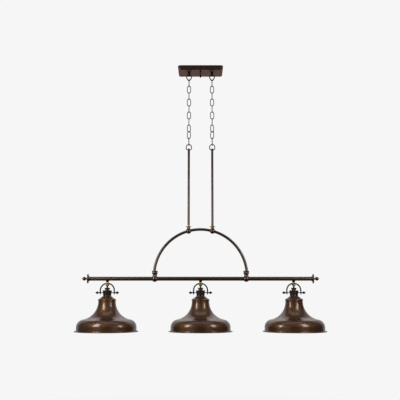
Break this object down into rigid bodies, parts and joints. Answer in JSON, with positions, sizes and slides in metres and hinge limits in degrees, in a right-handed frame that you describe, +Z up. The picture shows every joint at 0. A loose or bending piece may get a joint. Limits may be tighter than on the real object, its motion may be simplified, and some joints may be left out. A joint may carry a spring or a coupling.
{
  "type": "bar pendant light",
  "caption": "Ceiling light: bell shades hang from a horizontal bar under an arch, held by rods and chains from a rectangular canopy.",
  "frame": {"origin": "centre of the canopy at the ceiling plane, where the mounting plate meets the ceiling box", "axes": "+X along the bar to the right, +Y to the back, +Z up to the ceiling"},
  "size_m": [1.3619, 0.346, 1.4858],
  "materials": {
    "steel": "zinc plated",
    "canopy": "antique bronze, satin",
    "knob": "aged, darkened",
    "bushing": "aged",
    "loop": "antique bronze, dark",
    "end_link": "antique bronze, dark",
    "chain": "antique bronze",
    "stirrup": "antique bronze, dark",
    "rod": "antique bronze, satin",
    "flange": "aged",
    "arch": "antique bronze, satin",
    "ball": "antique bronze, satin",
    "foot_collar": "antique bronze, satin",
    "bar": "antique bronze, satin",
    "end_disc": "antique bronze, dark",
    "finial": "aged",
    "stem": "antique bronze, dark",
    "yoke_ball": "aged",
    "collar": "antique bronze, dark",
    "yoke": "antique bronze, dark",
    "screw": "antique bronze, satin",
    "cup": "antique bronze, dark",
    "cap": "antique bronze, satin",
    "shade": "antique bronze with a soft sheen",
    "lampholder": "smooth",
    "shade_ring": "smooth"
  },
  "bodies": {
    "canopy_group": {"mounting_plate": "steel", "canopy": "canopy", "canopy_studs": "steel", "wire_bushing": "bushing", "canopy_loop_left": "loop", "canopy_loop_right": "loop", "loop_collars": "loop", "loop_nuts": "steel"},
    "knob_front": {"canopy_knob_front": "knob"},
    "knob_rear": {"canopy_knob_rear": "knob"},
    "top_link_left": {"chain_top_link_left": "end_link"},
    "plain_links_left": {"chain_run_left": "chain"},
    "end_link_left": {"chain_end_link_left": "end_link"},
    "top_link_right": {"chain_top_link_right": "end_link"},
    "plain_links_right": {"chain_run_right": "chain"},
    "end_link_right": {"chain_end_link_right": "end_link"},
    "light_frame": {"rod_stirrup_left": "stirrup", "rod_stirrup_right": "stirrup", "rod_left": "rod", "rod_right": "rod", "rod_flanges": "flange", "arch_left": "arch", "arch_centre": "arch", "arch_right": "arch", "arch_balls": "ball", "arch_foot_collars": "foot_collar", "bar": "bar", "bar_balls": "ball", "bar_end_discs": "end_disc", "bar_end_finials": "finial", "stem_pipes": "stem", "stem_nuts": "stem", "yoke_ball_tops": "yoke_ball", "yoke_ball_bottoms": "yoke_ball", "cup_collars": "collar", "yoke_left": "yoke", "yoke_centre": "yoke", "yoke_right": "yoke", "cup_left": "cup", "cup_centre": "cup", "cup_right": "cup", "cap_left": "cap", "cap_centre": "cap", "cap_right": "cap", "shade_left": "shade", "shade_centre": "shade", "shade_right": "shade", "lampholder_left": "lampholder", "lampholder_centre": "lampholder", "lampholder_right": "lampholder", "shade_ring_left": "shade_ring", "shade_ring_centre": "shade_ring", "shade_ring_right": "shade_ring"},
    "screw_left_outer": {"screw_left_outer": "screw"},
    "screw_left_inner": {"screw_left_inner": "screw"},
    "screw_centre_left": {"screw_centre_left": "screw"},
    "screw_centre_right": {"screw_centre_right": "screw"},
    "screw_right_inner": {"screw_right_inner": "screw"},
    "screw_right_outer": {"screw_right_outer": "screw"}
  },
  "joints": [
    {"name": "knob_front_turn", "type": "hinge", "parent": "canopy_group", "child": "knob_front", "pos_m": [0, -0.041, -0.03], "axis": [0, 0, 1], "continuous": true},
    {"name": "knob_rear_turn", "type": "hinge", "parent": "canopy_group", "child": "knob_rear", "pos_m": [0, 0.041, -0.03], "axis": [0, 0, 1], "continuous": true},
    {"name": "swing_left", "type": "hinge", "parent": "canopy_group", "child": "top_link_left", "pos_m": [-0.066, 0, -0.06925], "axis": [1, 0, 0], "range_deg": [-50, 50]},
    {"name": "sway_left", "type": "hinge", "parent": "top_link_left", "child": "plain_links_left", "pos_m": [-0.066, 0, -0.1073], "axis": [0, 1, 0], "range_deg": [-45, 45]},
    {"name": "level_left", "type": "hinge", "parent": "plain_links_left", "child": "end_link_left", "pos_m": [-0.066, 0, -0.4094], "axis": [0, 1, 0], "range_deg": [-45, 45]},
    {"name": "swing_right", "type": "hinge", "parent": "canopy_group", "child": "top_link_right", "pos_m": [0.066, 0, -0.06925], "axis": [1, 0, 0], "range_deg": [-50, 50]},
    {"name": "sway_right", "type": "hinge", "parent": "top_link_right", "child": "plain_links_right", "pos_m": [0.066, 0, -0.1073], "axis": [0, 1, 0], "range_deg": [-45, 45]},
    {"name": "level_right", "type": "hinge", "parent": "plain_links_right", "child": "end_link_right", "pos_m": [0.066, 0, -0.4094], "axis": [0, 1, 0], "range_deg": [-45, 45]},
    {"name": "frame_nod", "type": "hinge", "parent": "end_link_left", "child": "light_frame", "pos_m": [-0.066, 0, -0.4477], "axis": [1, 0, 0], "range_deg": [-30, 30]},
    {"name": "screw_left_outer_turn", "type": "hinge", "parent": "light_frame", "child": "screw_left_outer", "pos_m": [-0.548, 0, -1.27707], "axis": [-1, 0, 0], "continuous": true},
    {"name": "screw_left_inner_turn", "type": "hinge", "parent": "light_frame", "child": "screw_left_inner", "pos_m": [-0.468, 0, -1.27707], "axis": [1, 0, 0], "continuous": true},
    {"name": "screw_centre_left_turn", "type": "hinge", "parent": "light_frame", "child": "screw_centre_left", "pos_m": [-0.04, 0, -1.27707], "axis": [-1, 0, 0], "continuous": true},
    {"name": "screw_centre_right_turn", "type": "hinge", "parent": "light_frame", "child": "screw_centre_right", "pos_m": [0.04, 0, -1.27707], "axis": [1, 0, 0], "continuous": true},
    {"name": "screw_right_inner_turn", "type": "hinge", "parent": "light_frame", "child": "screw_right_inner", "pos_m": [0.468, 0, -1.27707], "axis": [-1, 0, 0], "continuous": true},
    {"name": "screw_right_outer_turn", "type": "hinge", "parent": "light_frame", "child": "screw_right_outer", "pos_m": [0.548, 0, -1.27707], "axis": [1, 0, 0], "continuous": true}
  ],
  "couplings": [
    {"joint": "swing_right", "follows": "swing_left", "ratio": 1},
    {"joint": "sway_right", "follows": "sway_left", "ratio": 1},
    {"joint": "level_left", "follows": "sway_left", "ratio": -1},
    {"joint": "level_right", "follows": "sway_left", "ratio": -1}
  ]
}
